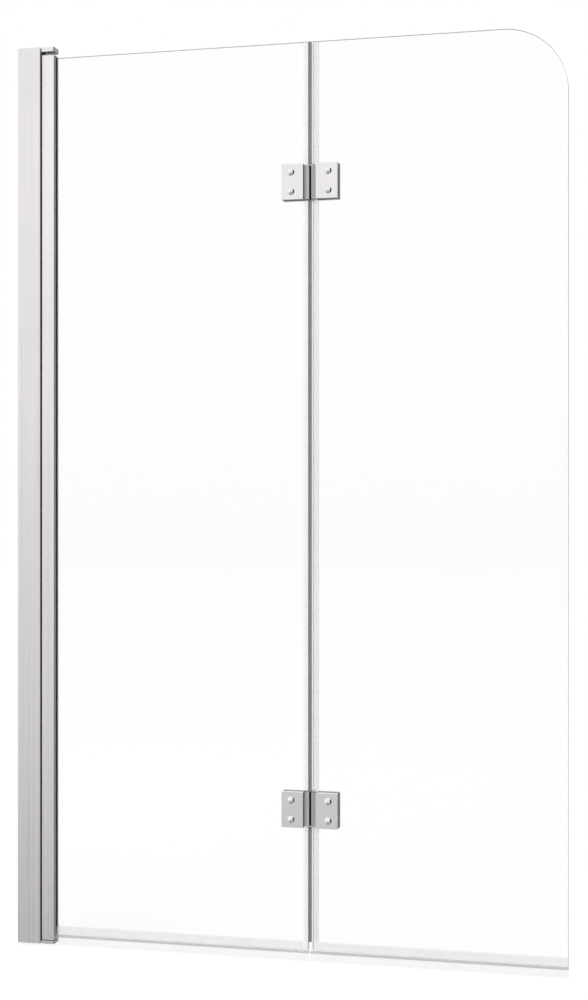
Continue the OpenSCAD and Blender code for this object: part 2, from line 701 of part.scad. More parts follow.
hinge_piece("inner_plate", lower_hinge_z);  // lower_inner_plate
hinge_piece("inner_pads", lower_hinge_z);  // lower_inner_pads
hinge_piece("inner_bushes", lower_hinge_z);  // lower_inner_bushes
hinge_piece("inner_dome_nuts", lower_hinge_z);  // lower_inner_dome_nuts
hinge_piece("inner_screws", lower_hinge_z);  // lower_inner_screws
hinge_piece("hinge_pin", lower_hinge_z);  // lower_hinge_pin
hinge_piece("hinge_washers", lower_hinge_z);  // lower_hinge_washers
hinge_piece("outer_leaf", lower_hinge_z);  // lower_outer_leaf
hinge_piece("outer_plate", lower_hinge_z);  // lower_outer_plate
hinge_piece("outer_pads", lower_hinge_z);  // lower_outer_pads
hinge_piece("outer_bushes", lower_hinge_z);  // lower_outer_bushes
hinge_piece("outer_dome_nuts", lower_hinge_z);  // lower_outer_dome_nuts
hinge_piece("outer_screws", lower_hinge_z);  // lower_outer_screws
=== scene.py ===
import math

import bmesh
import bpy
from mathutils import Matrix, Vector


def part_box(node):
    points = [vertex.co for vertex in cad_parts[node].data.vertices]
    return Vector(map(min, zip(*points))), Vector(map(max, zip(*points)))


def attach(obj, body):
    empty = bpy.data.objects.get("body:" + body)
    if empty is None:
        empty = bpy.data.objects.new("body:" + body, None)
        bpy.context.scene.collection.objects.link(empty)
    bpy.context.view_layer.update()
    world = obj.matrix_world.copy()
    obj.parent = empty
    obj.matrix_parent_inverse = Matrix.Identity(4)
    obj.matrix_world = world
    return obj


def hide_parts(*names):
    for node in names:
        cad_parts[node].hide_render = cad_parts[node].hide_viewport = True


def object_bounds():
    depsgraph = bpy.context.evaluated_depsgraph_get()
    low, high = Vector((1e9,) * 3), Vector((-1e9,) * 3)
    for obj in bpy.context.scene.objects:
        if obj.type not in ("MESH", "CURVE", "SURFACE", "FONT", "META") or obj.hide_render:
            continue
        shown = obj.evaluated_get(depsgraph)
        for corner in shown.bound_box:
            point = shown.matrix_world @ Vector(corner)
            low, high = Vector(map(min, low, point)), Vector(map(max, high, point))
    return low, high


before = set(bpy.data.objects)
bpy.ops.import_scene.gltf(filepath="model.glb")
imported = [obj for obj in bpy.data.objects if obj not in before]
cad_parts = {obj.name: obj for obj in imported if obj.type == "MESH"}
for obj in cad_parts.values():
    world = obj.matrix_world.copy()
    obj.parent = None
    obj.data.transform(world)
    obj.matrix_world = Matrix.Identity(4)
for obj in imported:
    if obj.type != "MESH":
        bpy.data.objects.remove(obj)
cad_low, cad_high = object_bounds()
scene = bpy.context.scene
scene.view_settings.view_transform = "Standard"

# Pieces are worked out in mm; the camera, the lamp and the floor are in metres
MM = 0.001

# Camera

CAMERA_PLACE = (1.0343, -2.4641, 0.6908)
CAMERA_YAW = 13.537
CAMERA_LENS = 60.5
SENSOR_HEIGHT = 36
FAR_CLIP = 60

camera_data = bpy.data.cameras.new("camera")
camera_data.sensor_fit = "VERTICAL"
camera_data.sensor_height = SENSOR_HEIGHT
camera_data.lens = CAMERA_LENS
camera_data.clip_end = FAR_CLIP
camera = bpy.data.objects.new("camera", camera_data)
camera.location = CAMERA_PLACE
camera.rotation_euler = (math.radians(90), 0, math.radians(CAMERA_YAW))
scene.collection.objects.link(camera)
scene.camera = camera


# Node helpers

# A mix node's sockets for colours; it has others for numbers and vectors
MIX_FACTOR, MIX_A, MIX_B, MIX_RESULT = 0, 6, 7, 2
WHITE = (1, 1, 1, 1)


class Graph:
    """A material's or the world's nodes, made and joined in one go."""

    def __init__(self, tree):
        self.tree = tree
        tree.nodes.clear()

    def node(self, kind, ins=(), **settings):
        """A node with its settings and its inputs, which go by name or by number."""
        made = self.tree.nodes.new(kind)
        for key, value in settings.items():
            setattr(made, key, value)
        for key, value in dict(ins).items():
            self.put(made.inputs[key], value)
        return made

    def put(self, socket, value):
        """Joins another node's output to a socket, or gives the socket a plain value."""
        if isinstance(value, bpy.types.NodeSocket):
            self.tree.links.new(value, socket)
        else:
            socket.default_value = value

    def math(self, operation, a, b):
        return self.node("ShaderNodeMath", {0: a, 1: b}, operation=operation).outputs[0]

    def ramp(self, fac, stops):
        """A colour ramp; each stop is a position with a grey level or a colour."""
        made = self.node("ShaderNodeValToRGB", {"Fac": fac})
        elements = made.color_ramp.elements
        while len(elements) < len(stops):
            elements.new(1.0)
        for element, (place, colour) in zip(elements, stops):
            element.position = place
            if not isinstance(colour, tuple):
                colour = (colour, colour, colour)
            element.color = (*colour, 1)
        return made.outputs["Color"]

    def span(self, value, from_low, from_high, to_low=0.0, to_high=1.0, smooth=False):
        """The value carried from one range to another, held at both ends."""
        made = self.node("ShaderNodeMapRange", {
            "Value": value, "From Min": from_low, "From Max": from_high,
            "To Min": to_low, "To Max": to_high},
            interpolation_type="SMOOTHSTEP" if smooth else "LINEAR")
        return made.outputs["Result"]

    def mix(self, fac, a, b, blend="MIX"):
        made = self.node("ShaderNodeMix", {MIX_FACTOR: fac, MIX_A: a, MIX_B: b},
                         data_type="RGBA", blend_type=blend)
        return made.outputs[MIX_RESULT]

    def noise(self, scale, detail, rough, stretch=(1, 1, 1)):
        """Noise over the object's own coordinates; scale is in repeats a metre."""
        place = self.node("ShaderNodeTexCoord").outputs["Object"]
        mapped = self.node("ShaderNodeMapping", {"Vector": place, "Scale": stretch})
        made = self.node("ShaderNodeTexNoise", {
            "Vector": mapped.outputs["Vector"], "Scale": scale, "Detail": detail,
            "Roughness": rough})
        return made.outputs["Fac"]

    def bump(self, height, distance, strength):
        made = self.node("ShaderNodeBump", {
            "Height": height, "Distance": distance, "Strength": strength})
        return made.outputs["Normal"]


def grey(value):
    """A faintly cool grey, as a socket's colour."""
    return (value, value, value * 1.01, 1)


def tinted(level, tint):
    """A tint at a brightness, for a stop of a ramp."""
    return tuple(level * v for v in tint)


def material(name):
    """A new material with its node graph and its output node."""
    made = bpy.data.materials.new(name)
    made.use_nodes = True
    graph = Graph(made.node_tree)
    out = graph.node("ShaderNodeOutputMaterial")
    return made, graph, out


# World: white where the camera sees it, a studio where metal mirrors it, plain grey elsewhere

def studio(g):
    """What metal mirrors: a bright room with shades where the real metal shows darker tones."""
    way = g.node("ShaderNodeSeparateXYZ", {0: g.node("ShaderNodeTexCoord").outputs["Generated"]})
    x, y, z = way.outputs
    height = g.span(z, -1, 1)

    def within(*edges):
        """1 where each value has passed its edge, from the first number to the second."""
        inside = 1.0
        for value, start, full in edges:
            inside = g.math("MULTIPLY", inside, g.span(value, start, full, smooth=True))
        return inside

    ahead = g.ramp(height, [
        (0.0, 0.42), (0.30, 0.50), (0.37, 0.55), (0.395, 0.70), (0.42, 0.83), (0.45, 0.77),
        (0.48, 0.62), (0.53, 0.84), (0.575, 1.18), (0.62, 0.94), (0.66, 0.90)])
    dip = within((z, -0.18, -0.27), (z, -0.6, -0.45), (x, -0.22, -0.38), (x, -0.52, -0.43))
    ahead = g.mix(dip, ahead, grey(0.04))
    around = g.ramp(height, [
        (0.0, 0.26), (0.03, 0.28), (0.12, 0.50), (0.24, 0.80), (0.4, 0.95), (0.7, 1.0)])
    tall = g.mix(within((y, -0.72, -0.5)), ahead, around)
    shades = {
        "wall": (within((x, -0.7, -0.9), (y, -0.5, -0.25), (y, 0.5, 0.25)), 0.55),
        "high behind": (within((y, 0.0, 0.4), (z, -0.02, 0.1)), 0.55),
        "low behind": (within((y, 0.0, 0.2), (z, -0.5, -0.65)), 0.2),
        "behind, a little to the right": (
            within((y, 0.7, 0.85), (x, 0.06, 0.14), (x, 0.36, 0.28), (z, -0.34, -0.24)), 0.06),
        "behind, further to the right": (
            within((y, 0.7, 0.85), (x, 0.28, 0.36), (x, 0.6, 0.5), (z, -0.36, -0.28)),
            g.span(z, -0.25, 0.2, 0.12, 0.9)),
        "right": (
            within((x, 0.55, 0.72), (y, -0.62, -0.4), (y, 0.7, 0.5), (z, -0.78, -0.62)), 0.03)}
    level = g.span(x, -0.9, -0.5, 1.4, 1.0)
    for where, factor in shades.values():
        level = g.math("MULTIPLY", level, g.span(where, 0, 1, 1.0, factor))
    shade = g.node("ShaderNodeCombineColor", {0: level, 1: level, 2: level})
    return g.mix(1.0, tall, shade.outputs[0], blend="MULTIPLY")


def seen_directly(g, rays):
    """1 for rays from the camera, straight or through the glass."""
    return g.math("MAXIMUM", rays.outputs["Is Camera Ray"], rays.outputs["Is Transmission Ray"])


ROOM_LEVEL = 0.72
world = bpy.data.worlds.new("studio")
world.use_nodes = True
scene.world = world
world.cycles.sampling_method = "NONE"
g = Graph(world.node_tree)
rays = g.node("ShaderNodeLightPath")
room = g.mix(rays.outputs["Is Glossy Ray"], grey(ROOM_LEVEL), studio(g))
colour = g.mix(seen_directly(g, rays), room, WHITE)
sky = g.node("ShaderNodeBackground", {"Color": colour, "Strength": 1.0})
g.node("ShaderNodeOutputWorld", {"Surface": sky.outputs[0]})


def softbox(name, place, aim, width, watts):
    """A square area light that metal, glass and the camera don't see."""
    data = bpy.data.lights.new(name, "AREA")
    data.shape = "SQUARE"
    data.size = width
    data.energy = watts
    lamp = bpy.data.objects.new(name, data)
    lamp.location = place
    lamp.rotation_euler = (Vector(aim) - Vector(place)).to_track_quat("-Z", "Y").to_euler()
    lamp.visible_glossy = False
    lamp.visible_camera = False
    lamp.visible_transmission = False
    scene.collection.objects.link(lamp)


KEY_PLACE = (-1.2, -2.6, 2.6)
KEY_AIM = (0.42, 0, 0.7)
KEY_WIDTH = 2.4
KEY_WATTS = 52
softbox("key", KEY_PLACE, KEY_AIM, KEY_WIDTH, KEY_WATTS)


# Floor: white to the camera, with the object's faint shadow

FLOOR_GLOW = 0.88
FLOOR_LIT = 0.17
FLOOR_PAPER = 0.7
FLOOR_HALF = 14
floor_corners = [(a * FLOOR_HALF, b * FLOOR_HALF, cad_low.z)
                 for a, b in ((-1, -1), (1, -1), (1, 1), (-1, 1))]
floor_mesh = bpy.data.meshes.new("floor")
floor_mesh.from_pydata(floor_corners, [], [(0, 1, 2, 3)])
floor = bpy.data.objects.new("floor", floor_mesh)
scene.collection.objects.link(floor)
floor.visible_glossy = False
floor_material, g, out = material("floor_paper")
seen = seen_directly(g, g.node("ShaderNodeLightPath"))
lit = g.node("ShaderNodeBsdfDiffuse", {"Color": grey(FLOOR_LIT)})
glow = g.node("ShaderNodeEmission", {"Color": WHITE, "Strength": FLOOR_GLOW})
both = g.node("ShaderNodeAddShader", {0: lit.outputs[0], 1: glow.outputs[0]})
paper = g.node("ShaderNodeBsdfDiffuse", {"Color": grey(FLOOR_PAPER)})
mixed = g.node("ShaderNodeMixShader", {0: seen, 1: paper.outputs[0], 2: both.outputs[0]})
g.put(out.inputs["Surface"], mixed.outputs[0])
floor.data.materials.append(floor_material)


# Materials

ALONG_Z = (1, 1, 0.004)
ALONG_X = (0.004, 1, 1)
SILVER_TINT = (1.0, 0.966, 0.995)
PVC_TINT = (1.0, 0.965, 1.0)
PVC_CLOUD_TINT = (0.975, 0.94, 0.98)
RUBBER_TINT = (1.0, 0.955, 1.0)


def brushed(name, base, rough, stretch, streaks, contrast):
    """Metal brushed along one axis, with broad and fine streaks; streaks scales their number."""
    made, g, out = material(name)
    broad = g.noise(240 * streaks, 3, 0.6, stretch)
    fine = g.noise(1100 * streaks, 2, 0.6, stretch)
    cloud = g.noise(9, 3, 0.5)
    streak = g.math("ADD", g.math("MULTIPLY", broad, 0.62), g.math("MULTIPLY", fine, 0.38))
    colour = g.ramp(streak, [(0.34, tinted(base * (1 - contrast), SILVER_TINT)),
                             (0.66, tinted(base * (1 + contrast), SILVER_TINT))])
    handled = g.mix(g.span(cloud, 0.35, 0.75, 0, 0.12), colour, grey(base * 0.86))
    roughness = g.span(g.math("ADD", streak, g.math("MULTIPLY", cloud, 0.5)), 0.4, 1.1,
                       rough - 0.06, rough + 0.1)
    shader = g.node("ShaderNodeBsdfPrincipled", {
        "Base Color": handled, "Metallic": 1.0, "Roughness": roughness,
        "Normal": g.bump(fine, 0.004 * MM, 0.5)})
    g.put(out.inputs["Surface"], shader.outputs[0])
    return made


def polished(name, base, rough):
    """Bright plated metal with faint wiping marks."""
    made, g, out = material(name)
    marks = g.noise(260, 4, 0.6, (1, 1, 0.3))
    shader = g.node("ShaderNodeBsdfPrincipled", {
        "Base Color": g.ramp(marks, [(0.3, base * 0.96), (0.7, base)]), "Metallic": 1.0,
        "Roughness": g.span(marks, 0.35, 0.7, rough, rough + 0.06),
        "Normal": g.bump(g.noise(1200, 2, 0.5), 0.002 * MM, 0.3)})
    g.put(out.inputs["Surface"], shader.outputs[0])
    return made


def lets_lamps_through(g, shader, out, tint):
    """Lets rays from lamps pass, so that a clear piece casts almost no shadow."""
    rays = g.node("ShaderNodeLightPath")
    clear = g.node("ShaderNodeBsdfTransparent", {"Color": tint})
    mixed = g.node("ShaderNodeMixShader", {
        0: rays.outputs["Is Shadow Ray"], 1: shader.outputs[0], 2: clear.outputs[0]})
    g.put(out.inputs["Surface"], mixed.outputs[0])


def pane_glass(name):
    """Clear float glass with its faint waviness."""
    made, g, out = material(name)
    shader = g.node("ShaderNodeBsdfPrincipled", {
        "Base Color": (1.0, 0.989, 1.0, 1), "Roughness": 0.0, "IOR": 1.5,
        "Transmission Weight": 1.0,
        "Normal": g.bump(g.noise(5, 1, 0.4), 0.02 * MM, 0.25)})
    lets_lamps_through(g, shader, out, (0.96, 0.97, 0.965, 1))
    return made


def edge_glass(name):
    """The ground and polished edge of a pane, where the glass's own green shows."""
    made, g, out = material(name)
    grind = g.noise(700, 2, 0.5)
    shader = g.node("ShaderNodeBsdfPrincipled", {
        "Base Color": g.ramp(grind, [(0.35, (0.53, 0.55, 0.54)), (0.65, (0.63, 0.65, 0.64))]),
        "Roughness": 0.22, "IOR": 1.5, "Transmission Weight": 0.35,
        "Normal": g.bump(grind, 0.02 * MM, 0.3)})
    lets_lamps_through(g, shader, out, (0.7, 0.75, 0.72, 1))
    return made


def clear_seal(name, base, solid, rough):
    """Soft clear PVC: a thin milky wall; solid is the share of what is behind it that it hides."""
    made, g, out = material(name)
    cloud = g.noise(45, 3, 0.55)
    lines = g.noise(1500, 1, 0.5)
    shader = g.node("ShaderNodeBsdfPrincipled", {
        "Base Color": g.ramp(cloud, [(0.3, tinted(base, PVC_CLOUD_TINT)),
                                     (0.7, tinted(base, PVC_TINT))]),
        "Roughness": g.span(cloud, 0.3, 0.7, rough, rough + 0.12), "IOR": 1.46,
        "Alpha": g.span(cloud, 0.3, 0.7, solid * 0.92, solid * 1.08),
        "Normal": g.bump(lines, 0.01 * MM, 0.25)})
    g.put(out.inputs["Surface"], shader.outputs[0])
    made.surface_render_method = "BLENDED"
    return made


def rubber(name, base, rough):
    """Matt moulded or extruded rubber with a fine dull grain and paler dust."""
    made, g, out = material(name)
    grain = g.noise(2600, 3, 0.6)
    dust = g.noise(120, 4, 0.6)
    shader = g.node("ShaderNodeBsdfPrincipled", {
        "Base Color": g.ramp(dust, [(0.35, tinted(base, RUBBER_TINT)),
                                    (0.75, tinted(base * 1.35 + 0.004, RUBBER_TINT))]),
        "Roughness": g.span(grain, 0.3, 0.7, rough, rough + 0.15), "Specular IOR Level": 0.4,
        "Normal": g.bump(grain, 0.02 * MM, 0.4)})
    g.put(out.inputs["Surface"], shader.outputs[0])
    return made


def plastic(name, colour, rough):
    """Moulded plastic with a fine spark-eroded texture."""
    made, g, out = material(name)
    grain = g.noise(1800, 3, 0.6)
    tone = g.noise(80, 2, 0.5)
    dark = tinted(0.94, colour)
    shader = g.node("ShaderNodeBsdfPrincipled", {
        "Base Color": g.ramp(tone, [(0.35, dark), (0.65, colour)]),
        "Roughness": g.span(grain, 0.3, 0.7, rough, rough + 0.12),
        "Normal": g.bump(grain, 0.03 * MM, 0.35)})
    g.put(out.inputs["Surface"], shader.outputs[0])
    return made


# Brushed metals: brightness, roughness, direction, number of streaks, their contrast
ALUMINIUM = brushed("brushed_aluminium", 0.86, 0.30, ALONG_Z, 1.0, 0.09)
PROFILE_METAL = brushed("brushed_profile", 0.92, 0.28, ALONG_Z, 1.0, 0.09)
BRACKET_METAL = brushed("satin_bracket_metal", 0.90, 0.26, ALONG_X, 1.0, 0.05)
HINGE_METAL = brushed("satin_hinge_metal", 0.88, 0.24, ALONG_Z, 1.6, 0.04)
# The hinge plates' left and right sides: near-black metal as painted shade for the dark they mirror
PLATE_SIDE_PAINTED_SHADE = brushed("hinge_side_painted_shade", 0.06, 0.22, ALONG_Z, 2.0, 0.08)
# The hinges' back leaves: darker than the plates as painted shade, the outer one darker than the
# inner
LEAF_SHADED_METAL = {"inner": brushed("satin_inner_leaf_painted_shade", 0.72, 0.58, ALONG_Z, 1.6, 0.05),
              "outer": brushed("satin_outer_leaf_painted_shade", 0.57, 0.58, ALONG_Z, 1.6, 0.05)}
# Faces of the leaves inside the fold: near-black metal as painted shade in the seam
FOLD_PAINTED_SHADE = brushed("hinge_fold_painted_shade", 0.07, 0.45, ALONG_Z, 2.0, 0.08)
# Undersides of the hinge plates and the upper bracket: near-black metal as painted shade
UNDERSIDE_PAINTED_SHADE = brushed("metal_underside_painted_shade", 0.07, 0.34, ALONG_X, 1.0, 0.08)

# Polished metals: brightness, roughness
CHROME = polished("bright_steel_finish", 0.92, 0.05)
PIN_STEEL = polished("pivot_pin_finish", 0.98, 0.30)

GLASS = pane_glass("clear_pane_glass")
GLASS_EDGE = edge_glass("polished_glass_edge")

# Clear seals: brightness, solidity, roughness
SEAL = clear_seal("clear_pvc_seal", 0.92, 0.13, 0.2)
SEAL_EDGE = clear_seal("clear_pvc_outer_edge", 0.92, 0.19, 0.2)
# The sleeve's base: thicker PVC, and darker than the walls as painted shade for the dark line along
# the sleeve's foot
SEAL_BASE_PAINTED_SHADE = clear_seal("clear_pvc_base_painted_shade", 0.60, 0.44, 0.25)
SEAL_LIP = clear_seal("clear_pvc_lip", 0.92, 0.05, 0.2)
FIN = clear_seal("clear_pvc_fin", 0.90, 0.11, 0.2)

# Rubbers: brightness, roughness
SMOKE = rubber("smoke_pvc_bulb", 0.22, 0.4)
BLACK = rubber("black_gasket_rubber", 0.011, 0.5)
GREY_SEAL = rubber("grey_seal_rubber", 0.34, 0.5)
PAD = rubber("hinge_pad_rubber", 0.30, 0.5)

# Plastics, and metal faces painted a flat grey for their light and shade: colour, roughness
NYLON = plastic("natural_nylon", (0.84, 0.83, 0.79), 0.4)
CAP = plastic("grey_cap_plastic", (0.56, 0.545, 0.56), 0.4)
# The leaves' upper and lower ends: a flat grey in place of metal, as painted shade
LEAF_END_PAINTED_SHADE = plastic("hinge_end_painted_shade", (0.74, 0.73, 0.74), 0.45)
# The turning profile's jaw ends, flat greys in place of metal: dark as painted shade at the front,
# paler at the back
PROFILE_SIDE_PAINTED_SHADE = plastic("profile_side_painted_shade", (0.35, 0.34, 0.35), 0.45)
PROFILE_BACK_PAINTED_LIGHT = plastic("profile_back_painted_light", (0.78, 0.76, 0.78), 0.45)


# Mesh helpers

MERGE = 0.002 * MM
FLAT_ANGLE = math.radians(0.3)
EASED_ANGLE = math.radians(40)
LARGE_FACES_FIRST = 100
NEARLY_HALF = 0.49


def finish_object(name, bm, materials, body, node, smooth=30):
    """Turns a bmesh into a piece that rides on a body and takes a CAD node's place.

    Edges that bend by more than smooth, in degrees, stay sharp.
    """
    bm.normal_update()
    mesh = bpy.data.meshes.new(name)
    bm.to_mesh(mesh)
    bm.free()
    for part in materials:
        mesh.materials.append(part)
    mesh.shade_smooth()
    mesh.set_sharp_from_angle(angle=math.radians(smooth))
    made = bpy.data.objects.new(name, mesh)
    scene.collection.objects.link(made)
    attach(made, body)
    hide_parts(node)
    return made


def one_metal(centre, normal):
    """Every face has the main metal."""
    return 0


def eased(name, node, body, metal, width, shortest=2.5, steps=2, others=(), where=one_metal):
    """A copy of a CAD solid whose sharp edges are eased, but for those under the shortest length.

    where(centre in mm, normal) gives 0 for the main metal, or 1 or more for one of the others.
    """
    bm = bmesh.new()
    bm.from_mesh(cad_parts[node].data)
    bmesh.ops.remove_doubles(bm, verts=bm.verts, dist=MERGE)
    bmesh.ops.dissolve_limit(bm, angle_limit=FLAT_ANGLE, verts=bm.verts, edges=bm.edges,
                             use_dissolve_boundaries=False)
    bm.normal_update()
    for face in bm.faces:
        face.material_index = where(face.calc_center_median() / MM, face.normal)
    weights = bm.edges.layers.float.new("bevel_weight_edge")
    for edge in bm.edges:
        if len(edge.link_faces) == 2 and edge.calc_length() > shortest * MM:
            if edge.calc_face_angle() > EASED_ANGLE:
                edge[weights] = 1.0
    made = finish_object(name, bm, [metal, *others], body, node)
    bevel = made.modifiers.new("eased_edges", "BEVEL")
    bevel.material = 0
    bevel.limit_method = "WEIGHT"
    bevel.width = width * MM
    bevel.segments = steps
    flat = made.modifiers.new("flat_faces", "WEIGHTED_NORMAL")
    flat.mode = "FACE_AREA"
    flat.weight = LARGE_FACES_FIRST
    flat.keep_sharp = True


def arc(x, y, r, start, end, steps):
    """Points on an arc round x, y from one angle to another, in degrees."""
    return [(x + r * math.cos(math.radians(start + (end - start) * i / steps)),
             y + r * math.sin(math.radians(start + (end - start) * i / steps)))
            for i in range(steps + 1)]


def softened(points, steps=4):
    """An outline from (x, y, r) corners, each rounded by its own radius."""
    out = []
    count = len(points)
    for i, (x, y, r) in enumerate(points):
        here = Vector((x, y))
        before = Vector(points[i - 1][:2]) - here
        after = Vector(points[(i + 1) % count][:2]) - here
        if r <= 0:
            out.append((x, y))
            continue
        half = before.angle(after) / 2
        reach = min(r / math.tan(half), before.length * NEARLY_HALF, after.length * NEARLY_HALF)
        a = here + before.normalized() * reach
        b = here + after.normalized() * reach
        for k in range(steps + 1):
            t = k / steps
            p = a * (1 - t) ** 2 + here * 2 * t * (1 - t) + b * t ** 2
            out.append((p.x, p.y))
    return out


def extrude(bm, outline, low, high, place, cuts=1, index=0):
    """A prism in mm; place(a, b, c) turns the outline's point a, b at c into x, y, z."""
    rings = []
    for i in range(cuts + 1):
        c = low + (high - low) * i / cuts
        rings.append([bm.verts.new([v * MM for v in place(a, b, c)]) for a, b in outline])
    made = []
    count = len(outline)
    for lower, upper in zip(rings, rings[1:]):
        for i in range(count):
            j = (i + 1) % count
            made.append(bm.faces.new((lower[i], lower[j], upper[j], upper[i])))
    made.append(bm.faces.new(list(reversed(rings[0]))))
    made.append(bm.faces.new(rings[-1]))
    for face in made:
        face.material_index = index
    bmesh.ops.recalc_face_normals(bm, faces=made)


def upright(a, b, c):
    return (a, b, c)


def lengthways(a, b, c):
    return (c, a, b)


# Sizes in mm: from the frame where a node's box has them, or else as in the CAD source

X, Y, Z = range(3)


def ends(node, axis):
    """A CAD node's lower and upper end along an axis."""
    low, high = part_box(node)
    return low[axis] / MM, high[axis] / MM


def middle(pair):
    return sum(pair) / 2


INNER_X = ends("inner_glass", X)
OUTER_X = ends("outer_glass", X)
GLASS_Z = ends("inner_glass", Z)
GLASS_HALF = ends("inner_glass", Y)[1]
CORNER_R = 95.0
EDGE_BEVEL = 0.5
FOLD_X = middle((INNER_X[1], OUTER_X[0]))
JAW_X = ends("pivot_profile", X)[1]
JAWS_FROM_X = 57.0

FIXED_FIT = 0.02
FACE_FIT = 0.1
SIDE_FIT = 0.3
# Soft walls stand off what they lie on by a hair, so that no two faces are in one place
HAIR = 0.03
SEAT = GLASS_HALF + HAIR

HINGE_Z = {level: middle(ends(f"{level}_inner_plate", Z)) for level in ("lower", "upper")}
PLATE_H = 53.5
HINGE_ROOM = PLATE_H / 2 + SIDE_FIT
PLATE_FRONT = ends("upper_inner_plate", Y)[0]
BARREL_Y = 11.5
FOLD_INSIDE = 5.5
SCREW_REACH = 28.6
SCREW_PITCH = 29.0
GLASS_HOLE_R = 5.0
DOME_R = 5.7
DOME_SHANK_R = 3.2
DOME_SHOULDER = 0.2

SLEEVE_BASE = 5.7
SLEEVE_FOOT = GLASS_Z[0] - SLEEVE_BASE
SLEEVE_TOP = ends("inner_bottom_seal", Z)[1]
SLEEVE_Y = ends("inner_bottom_seal", Y)[1]
BASE_TOP = SLEEVE_FOOT + 2.8
BASE_SHOULDER = 0.6
BASE_FOOT_HALF = 1.2
FIN_Z = ends("inner_bottom_seal", Z)[0]
FIN_LEAN = 2.0
# The inner fin starts clear of the turning bracket, and the outer one reaches into the fold
FIN_START = 2.72
FIN_OVERLAP = 1.4
FIN_ROOT = 0.3
FIN_HALF = 0.32
FIN_TAPER = 0.18
FIN_FILLET = 0.75
FIN_FILLET_SHARE = 1 / 7
BEAD_R = 0.5
BEAD_Y = FIN_LEAN * 0.93
FOLD_LEG = 9.0
FOLD_LIP = 3.2
INNER_WALL = 0.7
OUTER_WALL = 2.8


# Panes

MITRE_LIMIT = 0.3
HOLE_STEPS = 40
CORNER_STEPS = 64
OPEN_EDGE, SLEEVE_EDGE = 1, 2


def edge_normal(points, i):
    """The way off an outline at one of its corners, as long as a unit inset there needs."""
    here = Vector(points[i])
    arriving = (here - Vector(points[i - 1])).normalized()
    leaving = (Vector(points[(i + 1) % len(points)]) - here).normalized()
    first = Vector((-arriving.y, arriving.x))
    both = (first + Vector((-leaving.y, leaving.x))).normalized()
    return both / max(both.dot(first), MITRE_LIMIT)


def edge_band(bm, points, inward):
    """An outline's bevelled edge: rings at the front, both sides of the band and the back."""
    rings = []
    for y, inset in ((-GLASS_HALF, EDGE_BEVEL), (-GLASS_HALF + EDGE_BEVEL, 0),
                     (GLASS_HALF - EDGE_BEVEL, 0), (GLASS_HALF, EDGE_BEVEL)):
        row = []
        for i, point in enumerate(points):
            p = Vector(point) + edge_normal(points, i) * inset * inward
            row.append(bm.verts.new((p.x * MM, y * MM, p.y * MM)))
        rings.append(row)
    count = len(points)
    for lower, upper in zip(rings, rings[1:]):
        for i in range(count):
            j = (i + 1) % count
            face = bm.faces.new((lower[i], lower[j], upper[j], upper[i]))
            in_sleeve = max(v.co.z for v in face.verts) < (GLASS_Z[0] + 1) * MM
            face.material_index = SLEEVE_EDGE if in_sleeve else OPEN_EDGE
    return rings


def pane(name, body, node, outline, holes):
    """A glass pane with holes at the hinges; its edges show green but for the one in the sleeve."""
    bm = bmesh.new()
    bands = [edge_band(bm, outline, 1)]
    for x, z in holes:
        bands.append(edge_band(bm, arc(x, z, GLASS_HOLE_R, 0, 360, HOLE_STEPS)[:-1], -1))
    for side in (0, -1):
        edges = []
        for rings in bands:
            row = rings[side]
            edges += [bm.edges.get((row[i - 1], row[i])) for i in range(len(row))]
        bmesh.ops.triangle_fill(bm, use_beauty=True, use_dissolve=False, edges=edges)
    bmesh.ops.recalc_face_normals(bm, faces=bm.faces)
    finish_object(name, bm, [GLASS, GLASS_EDGE, SEAL_LIP], body, node, smooth=25)


def holes_at(x):
    """The centres of a pane's four hinge holes."""
    return [(x, z + s * SCREW_PITCH / 2) for z in HINGE_Z.values() for s in (-1, 1)]


inner_outline = [(INNER_X[0], GLASS_Z[0]), (INNER_X[1], GLASS_Z[0]),
                 (INNER_X[1], GLASS_Z[1]), (INNER_X[0], GLASS_Z[1])]
pane("inner_pane", "inner_panel", "inner_glass", inner_outline, holes_at(FOLD_X - SCREW_REACH))
outer_outline = [(OUTER_X[0], GLASS_Z[0]), (OUTER_X[1], GLASS_Z[0])]
outer_outline += arc(OUTER_X[1] - CORNER_R, GLASS_Z[1] - CORNER_R, CORNER_R, 0, 90, CORNER_STEPS)
outer_outline += [(OUTER_X[0], GLASS_Z[1])]
pane("outer_pane", "outer_panel", "outer_glass", outer_outline, holes_at(FOLD_X + SCREW_REACH))


# Bottom seals: a sleeve round the pane's edge and a soft fin that wipes the rim

FIN_STEPS = 10
BEAD_STEPS = 8
SEAL_CUTS = 12


def sleeve_outline():
    """The sleeve's two thin walls, down to its base."""
    low, high = BASE_TOP + HAIR, SLEEVE_TOP
    return [softened([(s * SLEEVE_Y, low, 0), (s * SLEEVE_Y, high, 0.5),
                      (s * SEAT, high, 0.35), (s * SEAT, low, 0)])
            for s in (-1, 1)]


def base_outline():
    """The base is thick under the pane and rounds into the fin."""
    z = SLEEVE_FOOT
    shoulder = SLEEVE_Y - BASE_SHOULDER
    return softened([(-BASE_FOOT_HALF, z, 0.3), (BASE_FOOT_HALF, z, 0.3),
                     (shoulder, z + BASE_SHOULDER, 1.0), (SLEEVE_Y, BASE_TOP, 0),
                     (-SLEEVE_Y, BASE_TOP, 0), (-shoulder, z + BASE_SHOULDER, 1.0)])


